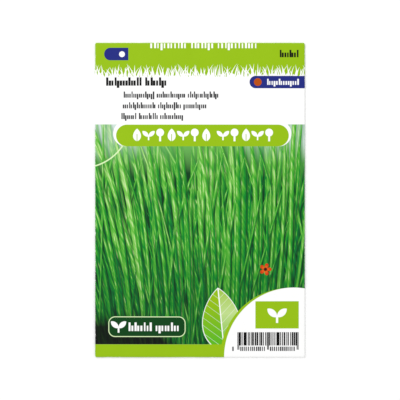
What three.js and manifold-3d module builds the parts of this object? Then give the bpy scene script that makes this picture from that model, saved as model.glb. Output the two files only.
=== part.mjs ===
// A sealed paper seed packet lying on its back, in millimetres.
//
// X runs to the packet's right, Y towards its top edge and Z up, out of its printed front. The origin is
// on the surface that the packet lies on, under its middle.
//
// The envelope is one sheet of paper. Its front panel carries a closing flap on its top edge, a bottom
// flap on its bottom edge, a narrow side flap on its left edge and the back panel on its right edge. The
// side flap is folded in behind the front. The back panel is folded over it and glued to it, and then the
// bottom flap and, once the packet is filled, the closing flap are folded over the back panel and glued
// down. Inside lies a flat sachet of two films that are sealed together round their edges, and in the
// sachet lie the seeds.

import * as THREE from "three";
import { mergeVertices } from "three/addons/utils/BufferGeometryUtils.js";
import Module from "manifold-3d";

// Outer size of the folded packet.
const packetWidth = 86;
const packetHeight = 129;

// Thicknesses: the paper, a line of glue, a sachet film, and the slack between layers that only lie
// together.
const paper = 0.15;
const glue = 0.1;
const film = 0.08;
const slack = 0.05;

// How far each flap reaches from its fold, how much its free end narrows on each side, and how far the
// back panel stops short of the left fold.
const closingFlap = { reach: 20, taper: 4, cells: 2 };
const bottomFlap = { reach: 15, taper: 4, cells: 2 };
const sideFlap = { reach: 12, taper: 5, cells: 2 };
const backPanelShort = 1.2;

// The glue lines: how far each lies from its fold, how wide it is and how far it stops short of the ends.
const sideGlue = { inset: 2.5, width: 7, short: 6.5 };
const bottomGlue = { inset: 3, width: 8, short: 5 };
const closingGlue = { inset: 5, width: 11, short: 5 };

// The sachet, its sealed margin, where its middle lies and how high its upper film is lifted.
const sachetWidth = 60;
const sachetHeight = 72;
const sachetY = -17;
const sealMargin = 4;
const sachetLift = 2;

// How high the closed packet swells all over, and how much more over the sachet.
const packetSwell = 1.2;
const sachetSwell = 1.3;
const sachetSwellReach = 8;

// One seed, the distance between neighbours, and the patch inside the sachet that the seeds have settled
// in.
const seedLength = 2.6;
const seedWidth = 1.8;
const seedDepth = 1.2;
const seedSpacing = 1.75;
const seedPatchWidth = 24;
const seedPatchHeight = 15;
const seedPatchY = sachetY - 12;

// Starts the repeatable draws that roll and turn the seeds.
const seedSettling = 7;

// Fineness of the curved surfaces. A fold has an even number of steps, so that one lies on its outermost
// line.
const panelColumns = 20;
const panelRows = 30;
const foldSteps = 4;
const filmColumns = 14;
const filmRows = 16;

// Heights of the layers where they lie flat, from the surface up: the two flaps that fold over the back,
// the back panel, the side flap and the front panel.
const flapMiddle = paper / 2;
const backMiddle = paper + glue + paper / 2;
const backTop = backMiddle + paper / 2;
const sideMiddle = backTop + glue + paper / 2;
const sideTop = sideMiddle + paper / 2;
const frontMiddle = sideTop + slack + paper / 2;

// Radii of the folds along the middle of the paper, and the edges of the front panel, where its folds
// begin.
const rightFold = (frontMiddle - backMiddle) / 2;
const leftFold = (frontMiddle - sideMiddle) / 2;
const endFold = (frontMiddle - flapMiddle) / 2;
const panelRight = packetWidth / 2 - rightFold - paper / 2;
const panelLeft = leftFold + paper / 2 - packetWidth / 2;
const panelTop = packetHeight / 2 - endFold - paper / 2;

const up = new THREE.Vector3(0, 0, 1);
const down = new THREE.Vector3(0, 0, -1);
const towardsRight = new THREE.Vector3(1, 0, 0);
const towardsLeft = new THREE.Vector3(-1, 0, 0);
const towardsTop = new THREE.Vector3(0, 1, 0);
const towardsBottom = new THREE.Vector3(0, -1, 0);

// Evenly spaced values from a to b, both included.
const spaced = (a, b, steps) =>
  Array.from({ length: steps + 1 }, (_, i) => a + ((b - a) * i) / steps);

// 1 in the middle, falling to 0 at distance 1 and beyond. A larger power gives a flatter top.
const arch = (distance, power) => Math.max(0, 1 - Math.abs(distance) ** power);

// Height of the front panel above its folds.
function panelSwell(x, y) {
  const overall = arch(x / panelRight, 2.3) * arch(y / panelTop, 2.3);
  const u = x / (sachetWidth / 2 + sachetSwellReach);
  const v = (y - sachetY) / (sachetHeight / 2 + sachetSwellReach);
  return packetSwell * overall + sachetSwell * arch(u, 2) ** 2 * arch(v, 2) ** 2;
}

// Height of the sachet's upper film above its seal.
function filmSwell(x, y) {
  const u = x / (sachetWidth / 2 - sealMargin);
  const v = (y - sachetY) / (sachetHeight / 2 - sealMargin);
  return sachetLift * arch(u, 3) * arch(v, 3);
}

// Upward normal of the front panel.
function panelNormal(x, y) {
  const step = 0.01;
  const slopeX = (panelSwell(x + step, y) - panelSwell(x - step, y)) / (2 * step);
  const slopeY = (panelSwell(x, y + step) - panelSwell(x, y - step)) / (2 * step);
  return new THREE.Vector3(-slopeX, -slopeY, 1).normalize();
}

// A thin sheet, laid out in four-sided cells along the middle of its thickness.
class Sheet {
  constructor() {
    this.middles = [];
    this.normals = [];
    this.cells = [];
  }

  // Adds a point of the middle surface with its outward normal, and gives its number.
  point(middle, normal) {
    this.middles.push(middle);
    this.normals.push(normal);
    return this.middles.length - 1;
  }

  // Adds the cells between columns of points. Each column runs up the sheet, and they follow each other
  // from left to right, as seen from outside. Patches with points in common are joined there.
  patch(columns) {
    for (let i = 0; i + 1 < columns.length; i++) {
      const [left, right] = [columns[i], columns[i + 1]];
      for (let j = 0; j + 1 < left.length; j++) {
        this.cells.push([left[j], right[j], right[j + 1], left[j + 1]]);
      }
    }
  }

  // The closed solid: an outer face, an inner face, and a wall along each side that only one cell has.
  solid(thickness) {
    const positions = [];
    this.middles.forEach((middle, k) => {
      for (const offset of [thickness / 2, -thickness / 2]) {
        positions.push(...middle.clone().addScaledVector(this.normals[k], offset));
      }
    });
    const outer = (k) => 2 * k;
    const inner = (k) => 2 * k + 1;
    const triangles = [];
    const sides = new Set();
    for (const cell of this.cells) {
      const [a, b, c, d] = cell;
      triangles.push(outer(a), outer(b), outer(c), outer(a), outer(c), outer(d));
      triangles.push(inner(a), inner(c), inner(b), inner(a), inner(d), inner(c));
      cell.forEach((from, k) => sides.add(`${from},${cell[(k + 1) % 4]}`));
    }
    for (const side of sides) {
      const [from, to] = side.split(",").map(Number);
      if (sides.has(`${to},${from}`)) continue;
      triangles.push(outer(to), outer(from), inner(from), outer(to), inner(from), inner(to));
    }
    const geometry = new THREE.BufferGeometry();
    geometry.setAttribute("position", new THREE.Float32BufferAttribute(positions, 3));
    geometry.setIndex(triangles);
    geometry.computeVertexNormals();
    return geometry;
  }
}

// Carries the sheet on from an edge of the front panel: a fold that turns under the panel, and then a
// flat piece that runs back beneath it and narrows towards its free end. Gives, for each point of the
// edge, the list of points from there to the free end.
function foldUnder(sheet, edge, outward, radius, flat) {
  const along = outward.x === 0 ? "x" : "y";
  const halfEdge = Math.abs(sheet.middles[edge[0]][along]);
  return edge.map((start) => {
    const points = [start];
    const centre = sheet.middles[start].clone().addScaledVector(up, -radius);
    for (const angle of spaced(0, Math.PI, foldSteps).slice(1)) {
      const normal = outward.clone().multiplyScalar(Math.sin(angle));
      normal.addScaledVector(up, Math.cos(angle));
      points.push(sheet.point(centre.clone().addScaledVector(normal, radius), normal));
    }
    const foldEnd = sheet.middles[points.at(-1)];
    const share = foldEnd[along] / halfEdge;
    for (const part of spaced(0, 1, flat.cells).slice(1)) {
      const middle = foldEnd.clone().addScaledVector(outward, -flat.reach * part);
      middle[along] -= flat.taper * part * share ** 9;
      points.push(sheet.point(middle, down));
    }
    return points;
  });
}

const transposed = (rows) => rows[0].map((_, k) => rows.map((row) => row[k]));

// The envelope: the front panel, and the four folds and what follows them.
function envelopeGeometry() {
  const sheet = new Sheet();
  const front = spaced(panelLeft, panelRight, panelColumns).map((x) =>
    spaced(-panelTop, panelTop, panelRows).map((y) => {
      const middle = new THREE.Vector3(x, y, frontMiddle + panelSwell(x, y));
      return sheet.point(middle, panelNormal(x, y));
    }),
  );
  sheet.patch(front);

  const backPanel = { reach: panelRight + packetWidth / 2 - backPanelShort, taper: 0, cells: 4 };
  const right = foldUnder(sheet, front.at(-1), towardsRight, rightFold, backPanel);
  sheet.patch(transposed(right));
  const left = foldUnder(sheet, front[0], towardsLeft, leftFold, sideFlap);
  sheet.patch(transposed(left).reverse());

  const topEdge = front.map((column) => column.at(-1));
  sheet.patch(foldUnder(sheet, topEdge, towardsTop, endFold, closingFlap));
  const bottomEdge = front.map((column) => column[0]);
  const bottom = foldUnder(sheet, bottomEdge, towardsBottom, endFold, bottomFlap);
  sheet.patch(bottom.map((points) => points.reverse()));

  return sheet.solid(paper);
}

// The sachet's lower film, flat on the back panel.
function lowerFilmGeometry(bottom) {
  return new THREE.BoxGeometry(sachetWidth, sachetHeight, film).translate(
    0,
    sachetY,
    bottom + film / 2,
  );
}

// The sachet's upper film, flat along its sealed margin and lifted inside it.
function upperFilmGeometry(bottom) {
  const stations = (centre, half, steps) => [
    centre - half,
    ...spaced(centre - half + sealMargin, centre + half - sealMargin, steps),
    centre + half,
  ];
  const sheet = new Sheet();
  const columns = stations(0, sachetWidth / 2, filmColumns).map((x) =>
    stations(sachetY, sachetHeight / 2, filmRows).map((y) => {
      const middle = new THREE.Vector3(x, y, bottom + film / 2 + filmSwell(x, y));
      return sheet.point(middle, up);
    }),
  );
  sheet.patch(columns);
  return sheet.solid(film);
}

// A bar of glue between two layers, from its lower left corner to its upper right one.
function glueGeometry(left, foot, right, head, bottom) {
  return new THREE.BoxGeometry(right - left, head - foot, glue).translate(
    (left + right) / 2,
    (foot + head) / 2,
    bottom + glue / 2,
  );
}

function sideGlueGeometry() {
  const left = panelLeft + sideGlue.inset;
  const half = panelTop - sideGlue.short;
  return glueGeometry(left, -half, left + sideGlue.width, half, backTop);
}

function bottomGlueGeometry() {
  const half = panelRight - bottomGlue.short;
  const foot = -panelTop + bottomGlue.inset;
  return glueGeometry(-half, foot, half, foot + bottomGlue.width, paper);
}

function closingGlueGeometry() {
  const half = panelRight - closingGlue.short;
  const head = panelTop - closingGlue.inset;
  return glueGeometry(-half, head - closingGlue.width, half, head, paper);
}

// Repeatable draws from 0 to 1.
function repeatableDraws(seed) {
  let state = seed;
  return () => {
    state = (state * 1664525 + 1013904223) >>> 0;
    return state / 2 ** 32;
  };
}

// One seed: three-sided, tapering to both ends and lying along X.
function seedGeometry() {
  const geometry = new THREE.SphereGeometry(0.5, 3, 3).rotateZ(Math.PI / 2);
  geometry.computeBoundingBox();
  const size = geometry.boundingBox.getSize(new THREE.Vector3());
  return geometry.scale(seedLength / size.x, seedWidth / size.y, seedDepth / size.z);
}

// The settled seeds: one layer over an oval patch, in staggered rows, each seed rolled and turned its own
// way and pressed against its neighbours, so that together they are one body.
function seedsGeometry(wasm, floor) {
  const draw = repeatableDraws(seedSettling);
  const rows = Math.floor(seedPatchHeight / (seedSpacing * 0.8));
  const columns = Math.floor(seedPatchWidth / seedSpacing);
  const seeds = [];
  for (let row = 0; row <= rows; row++) {
    for (let column = 0; column <= columns; column++) {
      const u = (2 * (column + (row % 2) / 2)) / columns - 1;
      const v = (2 * row) / rows - 1;
      if (Math.hypot(u, v) > 1) continue;
      const seed = seedGeometry()
        .rotateX((draw() - 0.5) * 0.5)
        .rotateZ(draw() * Math.PI);
      seed.computeBoundingBox();
      const rise = floor - seed.boundingBox.min.z + draw() * slack;
      seed.translate((u * seedPatchWidth) / 2, seedPatchY + (v * seedPatchHeight) / 2, rise);
      seeds.push(toSolid(wasm, seed));
    }
  }
  return toGeometry(wasm.Manifold.union(seeds));
}

// A closed three.js geometry as a manifold-3d solid, and back.
function toSolid(wasm, geometry) {
  geometry.deleteAttribute("normal");
  geometry.deleteAttribute("uv");
  const merged = mergeVertices(geometry, 1e-4);
  const mesh = new wasm.Mesh({
    numProp: 3,
    vertProperties: merged.attributes.position.array,
    triVerts: new Uint32Array(merged.index.array),
  });
  return new wasm.Manifold(mesh);
}

function toGeometry(solid) {
  const mesh = solid.getMesh();
  const geometry = new THREE.BufferGeometry();
  geometry.setAttribute("position", new THREE.BufferAttribute(mesh.vertProperties, 3));
  geometry.setIndex(new THREE.BufferAttribute(mesh.triVerts, 1));
  geometry.computeVertexNormals();
  return geometry;
}

const printedPaper = { color: 0x4f9c2e, roughness: 0.42, metalness: 0 };
const driedGlue = { color: 0xe9e3c8, roughness: 0.5, metalness: 0 };
const foilFilm = { color: 0xc9ccd0, roughness: 0.35, metalness: 0.8 };
const seedCoat = { color: 0x1b1a1c, roughness: 0.6, metalness: 0 };

function piece(name, geometry, surface) {
  const material = new THREE.MeshStandardMaterial({ ...surface, flatShading: true });
  const mesh = new THREE.Mesh(geometry, material);
  mesh.name = name;
  return mesh;
}

const wasm = await Module();
wasm.setup();

const sachetBottom = backTop + slack;
const sealHeight = sachetBottom + film;

const packet = new THREE.Group();
packet.add(
  piece("envelope", envelopeGeometry(), printedPaper),
  piece("side_seam_glue", sideGlueGeometry(), driedGlue),
  piece("bottom_flap_glue", bottomGlueGeometry(), driedGlue),
  piece("closing_flap_glue", closingGlueGeometry(), driedGlue),
  piece("sachet_lower_film", lowerFilmGeometry(sachetBottom), foilFilm),
  piece("sachet_upper_film", upperFilmGeometry(sealHeight), foilFilm),
  piece("seeds", seedsGeometry(wasm, sealHeight + slack), seedCoat),
);

export default packet;
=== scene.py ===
# %% [markdown]
# # A sealed seed packet
#
# The real thing starts as a flat sheet of coated paper. It is printed, cut to a cross-shaped blank,
# folded and glued. This lesson makes it in the same order: the blank is cut and folded as a mesh, and
# the print is a material that reads the flat blank, so that colour runs over the folds as real ink does.
#
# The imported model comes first. It is the fixed frame: it holds the packet's true size and its inner
# pieces.

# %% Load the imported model
import inspect
import math
import random

import bpy
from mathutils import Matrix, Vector, noise


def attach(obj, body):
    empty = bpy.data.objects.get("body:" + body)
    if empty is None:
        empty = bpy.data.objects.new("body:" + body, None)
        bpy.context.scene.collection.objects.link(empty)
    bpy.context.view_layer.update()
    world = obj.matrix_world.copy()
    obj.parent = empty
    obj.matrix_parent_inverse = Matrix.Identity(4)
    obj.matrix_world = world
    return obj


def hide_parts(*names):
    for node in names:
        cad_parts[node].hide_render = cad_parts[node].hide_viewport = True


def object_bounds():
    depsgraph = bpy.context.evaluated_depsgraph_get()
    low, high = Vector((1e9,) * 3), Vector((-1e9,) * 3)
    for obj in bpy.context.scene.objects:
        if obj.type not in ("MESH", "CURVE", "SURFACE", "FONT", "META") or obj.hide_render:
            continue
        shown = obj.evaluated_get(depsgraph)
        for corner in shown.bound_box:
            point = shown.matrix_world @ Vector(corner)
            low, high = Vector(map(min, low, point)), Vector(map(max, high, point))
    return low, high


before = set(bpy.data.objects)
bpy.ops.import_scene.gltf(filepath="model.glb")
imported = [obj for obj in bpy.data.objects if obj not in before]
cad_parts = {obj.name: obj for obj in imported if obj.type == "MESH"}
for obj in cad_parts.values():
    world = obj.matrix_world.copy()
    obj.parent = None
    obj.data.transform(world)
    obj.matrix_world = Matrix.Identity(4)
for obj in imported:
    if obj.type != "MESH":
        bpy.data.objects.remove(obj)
cad_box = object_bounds()
bpy.ops.object.select_all(action="DESELECT")
print("nodes:", sorted(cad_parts))

# %% [markdown]
# ## Sizes
#
# Paper work is thought of in millimetres, and Blender's unit here is the metre, so lengths are written
# in millimetres and multiplied by `mm` where they meet the mesh. The layers of the closed packet lie at
# set heights: flaps, back panel, side flap and front panel, with glue and a little slack between them.

# %% Sizes of the paper, the panels and the folds
mm = 0.001
PACKET_WIDTH = 86
PACKET_HEIGHT = 129
PAPER = 0.15
GLUE = 0.1
SLACK = 0.05
CLOSING_FLAP = 20
BOTTOM_FLAP = 15
SIDE_FLAP = 12
FLAP_TAPER = 4
SIDE_FLAP_TAPER = 5
BACK_PANEL_SHORT = 1.2

flap_height = PAPER / 2
back_height = PAPER + GLUE + PAPER / 2
side_height = back_height + PAPER + GLUE
front_height = side_height + PAPER + SLACK

right_fold = (front_height - back_height) / 2
left_fold = (front_height - side_height) / 2
end_fold = (front_height - flap_height) / 2
panel_right = PACKET_WIDTH / 2 - right_fold - PAPER / 2
panel_left = left_fold + PAPER / 2 - PACKET_WIDTH / 2
panel_top = PACKET_HEIGHT / 2 - end_fold - PAPER / 2
back_reach = panel_right + PACKET_WIDTH / 2 - BACK_PANEL_SHORT

# Where the flat parts beyond the folds begin on the blank.
back_start = panel_right + math.pi * right_fold
side_end = panel_left - math.pi * left_fold
ends = panel_top + math.pi * end_fold
print(f"front panel {panel_right - panel_left:.2f} by {2 * panel_top:.2f} mm")

# %% [markdown]
# ## The flat blank
#
# A grid is the front panel. Each edge of it is selected in turn and extruded, first by narrow strips
# that will bend into the fold, and then by wider ones for the flap or the back panel. Extruding an edge
# is what a modeller does by hand, and it keeps every row of faces joined to the next.

# %% Helpers that edit a mesh
NEAR = 1e-3


def open_for_editing(obj):
    bpy.ops.object.select_all(action="DESELECT")
    bpy.context.view_layer.objects.active = obj
    obj.select_set(True)
    bpy.ops.object.mode_set(mode="EDIT")
    bpy.ops.mesh.select_mode(type="VERT")
    bpy.ops.mesh.select_all(action="DESELECT")


def select_where(obj, wanted):
    """Selects the vertices whose place, in millimetres, passes the test, and what lies between them."""
    bpy.ops.mesh.select_all(action="DESELECT")
    bpy.ops.object.mode_set(mode="OBJECT")
    for vertex in obj.data.vertices:
        vertex.select = wanted(vertex.co / mm)
    bpy.ops.object.mode_set(mode="EDIT")


def open_grid(name, width, height, cell):
    """A new grid with all of it selected for editing. Its cells are about this many millimetres wide."""
    bpy.ops.mesh.primitive_grid_add(
        x_subdivisions=round(width / cell), y_subdivisions=round(height / cell), size=mm
    )
    grid = bpy.context.object
    grid.name = name
    open_for_editing(grid)
    bpy.ops.mesh.select_all(action="SELECT")
    bpy.ops.transform.resize(value=(width, height, 1))
    return grid


def extend(obj, wanted, widths, direction):
    """Extrudes the wanted edge in one direction, by a strip of each width."""
    select_where(obj, wanted)
    for width in widths:
        step = Vector(direction) * width * mm
        bpy.ops.mesh.extrude_region_move(TRANSFORM_OT_translate={"value": step})


# %% Lay out the blank
CELL = 1.0
FLAP_CELL = 2.0
BACK_CELL = 4.0
FOLD_STEPS = 6


def strips(fold, reach, cell):
    """Widths of the strips from an edge outwards: those that bend in the fold, then the flat ones."""
    count = round(reach / cell)
    return [math.pi * fold / FOLD_STEPS] * FOLD_STEPS + [reach / count] * count


sheet = open_grid("folded_paper", panel_right - panel_left, 2 * panel_top, CELL)
bpy.ops.transform.translate(value=((panel_right + panel_left) / 2 * mm, 0, 0))
extend(sheet, lambda p: p.x > panel_right - NEAR, strips(right_fold, back_reach, BACK_CELL), (1, 0, 0))
extend(sheet, lambda p: p.x < panel_left + NEAR, strips(left_fold, SIDE_FLAP, FLAP_CELL), (-1, 0, 0))
for side, flap in ((1, CLOSING_FLAP), (-1, BOTTOM_FLAP)):
    panel_end = lambda p: side * p.y > panel_top - NEAR and panel_left - NEAR < p.x < panel_right + NEAR
    extend(sheet, panel_end, strips(end_fold, flap, FLAP_CELL), (0, side, 0))
bpy.ops.object.mode_set(mode="OBJECT")
print("blank:", len(sheet.data.polygons), "faces,", [round(d / mm, 1) for d in sheet.dimensions])

# %% [markdown]
# ## Cutting the flaps
#
# A flap narrows towards its free end, so that it folds in without catching, and its corners are rounded.
# On paper that is a few snips of the scissors, and in the mesh it is the same: each snip is a bisect
# that throws away what lies outside it. A rounded corner is a fan of snips that touch one circle.

# %% Snip the flaps
CORNER_RADIUS = 4.0
CORNER_SNIPS = 6


def snip(obj, wanted, point, outward):
    """Cuts away the part of the wanted faces that lies beyond a line through point, on its outward side."""
    select_where(obj, wanted)
    bpy.ops.mesh.bisect(
        plane_co=(point[0] * mm, point[1] * mm, 0),
        plane_no=(outward[0], outward[1], 0),
        clear_outer=True,
        threshold=1e-7,
    )


def trim_flap(obj, wanted, root, tip, along, across):
    """Trims one long edge of a flap from root to tip, and rounds the corner at the tip."""
    root, tip, along, across = (Vector(pair) for pair in (root, tip, along, across))
    slant = (tip - root).normalized()
    side_normal = across - slant * across.dot(slant)
    side_normal.normalize()
    snip(obj, wanted, root, side_normal)
    opening = along.angle(side_normal)
    reach = CORNER_RADIUS / math.tan((math.pi - opening) / 2)
    centre = tip - slant * reach - side_normal * CORNER_RADIUS
    for number in range(1, CORNER_SNIPS):
        share = number / CORNER_SNIPS
        normal = (side_normal * (1 - share) + along * share).normalized()
        snip(obj, wanted, centre + normal * CORNER_RADIUS, normal)


open_for_editing(sheet)
for side, edge in ((1, panel_right), (-1, panel_left)):
    inner = edge - side * FLAP_TAPER
    for end, flap in ((1, CLOSING_FLAP), (-1, BOTTOM_FLAP)):
        on_flap = lambda p: end * p.y > ends - NEAR
        trim_flap(sheet, on_flap, (edge, end * ends), (inner, end * (ends + flap)), (0, end), (side, 0))
    tab_tip = (side_end - SIDE_FLAP, side * (panel_top - SIDE_FLAP_TAPER))
    on_tab = lambda p: p.x < side_end + NEAR
    trim_flap(sheet, on_tab, (side_end, side * panel_top), tab_tip, (-1, 0), (0, side))
bpy.ops.object.mode_set(mode="OBJECT")
print("blank cut:", len(sheet.data.polygons), "faces")

# %% [markdown]
# ## The map of the flat sheet
#
# Before anything is folded, every corner of every face notes where it lies on the flat blank, in
# millimetres. The print reads this map, so it stays on the paper wherever the paper goes.

# %% Note the flat places
flat_map = sheet.data.uv_layers.new(name="Blank")
for loop in sheet.data.loops:
    flat_map.data[loop.index].uv = (sheet.data.vertices[loop.vertex_index].co / mm).xy
print("corners on the map:", len(flat_map.data))

# %% [markdown]
# ## Folding
#
# Past a fold line the paper first runs round half a turn and then back beneath the panel. `wrapped` says
# how far out and how far down a point ends up. The front panel itself swells over the sachet that lies
# inside, and paper that is held flat along its folds also puckers a little next to them.

# %% Fold the sheet and let the front swell
SACHET_HALF = Vector((30, 36))
SACHET_Y = -17
SEED_PATCH_Y = -29
PACKET_SWELL = 1.2
PACKET_SWELL_POWER = 2.3
SACHET_SWELL = 1.3
SACHET_SWELL_REACH = 8
SEAL_RIDGE = 0.09
SEAL_RIDGE_WIDTH = 1.4
SEEDS_FELT = Vector((22, 16))
SEED_BUMPS = 0.05
SEED_BUMP_LENGTH = 2.2
PUCKER = 0.11
PUCKER_LENGTH = 5.5
PUCKER_REACH = 2.5
WAVE = 0.1
WAVE_LENGTHS = Vector((19, 26))


def wrapped(beyond, edge, radius):
    """Distance out and drop of a point of the sheet that lies this far beyond a fold's start."""
    angle = min(beyond / radius, math.pi)
    back = max(0, beyond - math.pi * radius)
    return edge + radius * math.sin(angle) - back, -radius * (1 - math.cos(angle))


def arch(distance, power):
    """1 in the middle, falling to 0 at a distance of 1."""
    return max(0, 1 - abs(distance) ** power)


def uneven(x, y, layer):
    """Smooth noise around 0. Each layer has hills of its own."""
    return noise.noise(Vector((x, y, layer)))


def swell(x, y):
    """Height of the front panel over its folds."""
    overall = arch(x / panel_right, PACKET_SWELL_POWER) * arch(y / panel_top, PACKET_SWELL_POWER)
    u = x / (SACHET_HALF.x + SACHET_SWELL_REACH)
    v = (y - SACHET_Y) / (SACHET_HALF.y + SACHET_SWELL_REACH)
    return PACKET_SWELL * overall + SACHET_SWELL * arch(u, 2) ** 2 * arch(v, 2) ** 2


def relief(x, y):
    """Small rises and dips: the sachet's edge and the seeds felt through the paper, puckers and waves."""
    rim = max(abs(x) - SACHET_HALF.x, abs(y - SACHET_Y) - SACHET_HALF.y)
    ridge = SEAL_RIDGE * math.exp(-((rim / SEAL_RIDGE_WIDTH) ** 2))
    patch = arch(x / SEEDS_FELT.x, 2) * arch((y - SEED_PATCH_Y) / SEEDS_FELT.y, 2)
    bumps = SEED_BUMPS * patch * uneven(x / SEED_BUMP_LENGTH, y / SEED_BUMP_LENGTH, 3.0)
    from_side = max(0, min(panel_right - x, x - panel_left)) / PUCKER_REACH
    from_end = max(0, panel_top - abs(y)) / PUCKER_REACH
    along_side = uneven(y / PUCKER_LENGTH, math.copysign(4, x), 0.0) * from_side * math.exp(1 - from_side)
    along_end = uneven(x / PUCKER_LENGTH, math.copysign(9, y), 0.0) * from_end * math.exp(1 - from_end)
    wave = WAVE * uneven(x / WAVE_LENGTHS.x, y / WAVE_LENGTHS.y, 7.0)
    middle = arch(x / panel_right, 4) * arch(y / panel_top, 4)
    return ridge + bumps + PUCKER * (along_side + along_end) + wave * middle


def folded(x, y):
    """Where a point of the flat blank lies on the closed packet, in millimetres."""
    if x > panel_right + NEAR:
        out, drop = wrapped(x - panel_right, panel_right, right_fold)
        return out, y, front_height + drop
    if x < panel_left - NEAR:
        out, drop = wrapped(panel_left - x, -panel_left, left_fold)
        return -out, y, front_height + drop
    if abs(y) > panel_top:
        out, drop = wrapped(abs(y) - panel_top, panel_top, end_fold)
        return x, math.copysign(out, y), front_height + drop
    return x, y, front_height + swell(x, y) + relief(x, y)


for vertex in sheet.data.vertices:
    x, y, _ = vertex.co / mm
    vertex.co = Vector(folded(x, y)) * mm
print("folded:", [round(d / mm, 2) for d in sheet.dimensions])

# %% [markdown]
# The sheet gets its thickness last. The faces of the grid point up, out of the packet's front, so the
# new faces that Solidify adds lie behind them. These and the cut rims take the next material slot, which
# is bare white paper. The printed faces of the back panel then move on to a third slot, because the back
# has a print of its own.

# %% Give the paper its thickness
PRINTED_FRONT, BARE_PAPER, PRINTED_BACK = 0, 1, 2
PAPER_SMOOTH_ANGLE = math.radians(40)


def thicken(obj, wall_thickness, slots_on=0):
    """Gives a sheet its wall, half to each side. The new faces take a slot this many further on."""
    wall = obj.modifiers.new("Thickness", "SOLIDIFY")
    wall.thickness = wall_thickness * mm
    wall.offset = 0
    wall.use_even_offset = False
    wall.material_offset = slots_on
    wall.material_offset_rim = slots_on
    bpy.ops.object.modifier_apply(modifier=wall.name)


bpy.context.view_layer.objects.active = sheet
for _ in (PRINTED_FRONT, BARE_PAPER, PRINTED_BACK):
    bpy.ops.object.material_slot_add()
printed_points = len(sheet.data.vertices)
thicken(sheet, PAPER, BARE_PAPER)
open_for_editing(sheet)
bpy.ops.mesh.select_all(action="SELECT")
bpy.ops.mesh.quads_convert_to_tris(quad_method="BEAUTY")
bpy.ops.object.mode_set(mode="OBJECT")
bpy.ops.object.shade_smooth_by_angle(angle=PAPER_SMOOTH_ANGLE)

flat_map = sheet.data.uv_layers["Blank"]
for face in sheet.data.polygons:
    from_left = min(flat_map.data[loop].uv.x for loop in face.loop_indices)
    if face.material_index == PRINTED_FRONT and from_left > back_start - NEAR:
        face.material_index = PRINTED_BACK
bare_faces = sum(face.material_index == BARE_PAPER for face in sheet.data.polygons)
print("paper:", len(sheet.data.polygons), "triangles,", bare_faces, "of them bare")

# %% [markdown]
# ## A second map, for baking
#
# When the packet is exported, its colours are baked into one square picture. The front has the finest
# print, so it gets two thirds of that picture and the other parts share a column beside it: the back
# panel, the flaps, and the whole bare inside at a small scale. The cut edges are folded out beside the
# bare inside.

# %% Lay the parts of the sheet out in one square
BAKE_PIXELS = 1024
BAKE_MARGIN = 4
CUT_EDGE_SHOWN = Vector((0.6, 0.4))


def laid_out(lowest, highest, left, foot, width):
    """Shows a stretch of the blank this many pixels wide, with its corner at a pixel of the square."""
    scale = width / (highest[0] - lowest[0])
    place = lambda x, y: (left + (x - lowest[0]) * scale, foot + (y - lowest[1]) * scale)
    return lambda x, y: Vector(place(x, y)) / BAKE_PIXELS


def part_of(face, middle):
    """The part of the sheet that a face belongs to, by its material and its middle's flat place."""
    if face.material_index == BARE_PAPER:
        return "inside"
    if middle.x > back_start:
        return "back"
    if middle.x < side_end:
        return "side flap"
    if abs(middle.y) > ends:
        return "top flap" if middle.y > 0 else "low flap"
    return "front"


front_width = (back_start - side_end) * (BAKE_PIXELS - 2 * BAKE_MARGIN) / (2 * ends)
column_left = 2 * BAKE_MARGIN + front_width
column_width = BAKE_PIXELS - BAKE_MARGIN - column_left
blank_foot, blank_head = -ends - BOTTOM_FLAP, ends + CLOSING_FLAP
column = {
    "back": ((back_start, -panel_top), (back_start + back_reach, panel_top)),
    "top flap": ((panel_left, ends), (panel_right, blank_head)),
    "low flap": ((panel_left, blank_foot), (panel_right, -ends)),
    "side flap": ((-panel_top, -side_end), (panel_top, SIDE_FLAP - side_end)),
    "inside": ((side_end - SIDE_FLAP - 1, blank_foot - 1), (back_start + back_reach + 1, blank_head + 1)),
}
layout = {"front": laid_out((side_end, -ends), (back_start, ends), BAKE_MARGIN, BAKE_MARGIN, front_width)}
stack_height = BAKE_MARGIN
for part, (lowest, highest) in column.items():
    layout[part] = laid_out(lowest, highest, column_left, stack_height, column_width)
    stack_height = layout[part](*highest).y * BAKE_PIXELS + BAKE_MARGIN

bake_map = sheet.data.uv_layers.new(name="OFBake")
flat_map = sheet.data.uv_layers["Blank"]
for face in sheet.data.polygons:
    corners = [flat_map.data[loop].uv for loop in face.loop_indices]
    part = part_of(face, sum(corners, Vector((0, 0))) / len(corners))
    for loop, corner in zip(face.loop_indices, corners):
        if part == "side flap":
            corner = Vector((corner.y, -corner.x))
        if part == "inside" and sheet.data.loops[loop].vertex_index < printed_points:
            corner = corner + CUT_EDGE_SHOWN
        bake_map.data[loop].uv = layout[part](*corner)
flat_map.active_render = True
print("bake square filled to", round(stack_height), "of", BAKE_PIXELS)

# %% [markdown]
# ## Drawing with nodes
#
# The print is vector art. Each shape is a formula that gives the distance to its outline, and ink covers
# what lies inside. `Value` lets such a formula be written as plain arithmetic: each sign adds one Math
# node. `Board` lays the nodes out on a tree.

# %% Arithmetic that lays nodes
def sign(operation):
    """What an arithmetic sign between two values does: it adds this Math node."""
    return lambda one, other: one.board.math(operation, one, other)


class Value:
    """Something that a node gives. Arithmetic on it adds Math nodes to its board."""

    __add__ = __radd__ = sign("ADD")
    __mul__ = __rmul__ = sign("MULTIPLY")
    __sub__ = sign("SUBTRACT")
    __truediv__ = sign("DIVIDE")
    __pow__ = sign("POWER")
    __gt__ = sign("GREATER_THAN")
    __lt__ = sign("LESS_THAN")

    def __init__(self, board, socket):
        self.board = board
        self.socket = socket

    def __rsub__(self, other):
        return self.board.math("SUBTRACT", other, self)

    def __abs__(self):
        return self.board.math("ABSOLUTE", self)


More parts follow.
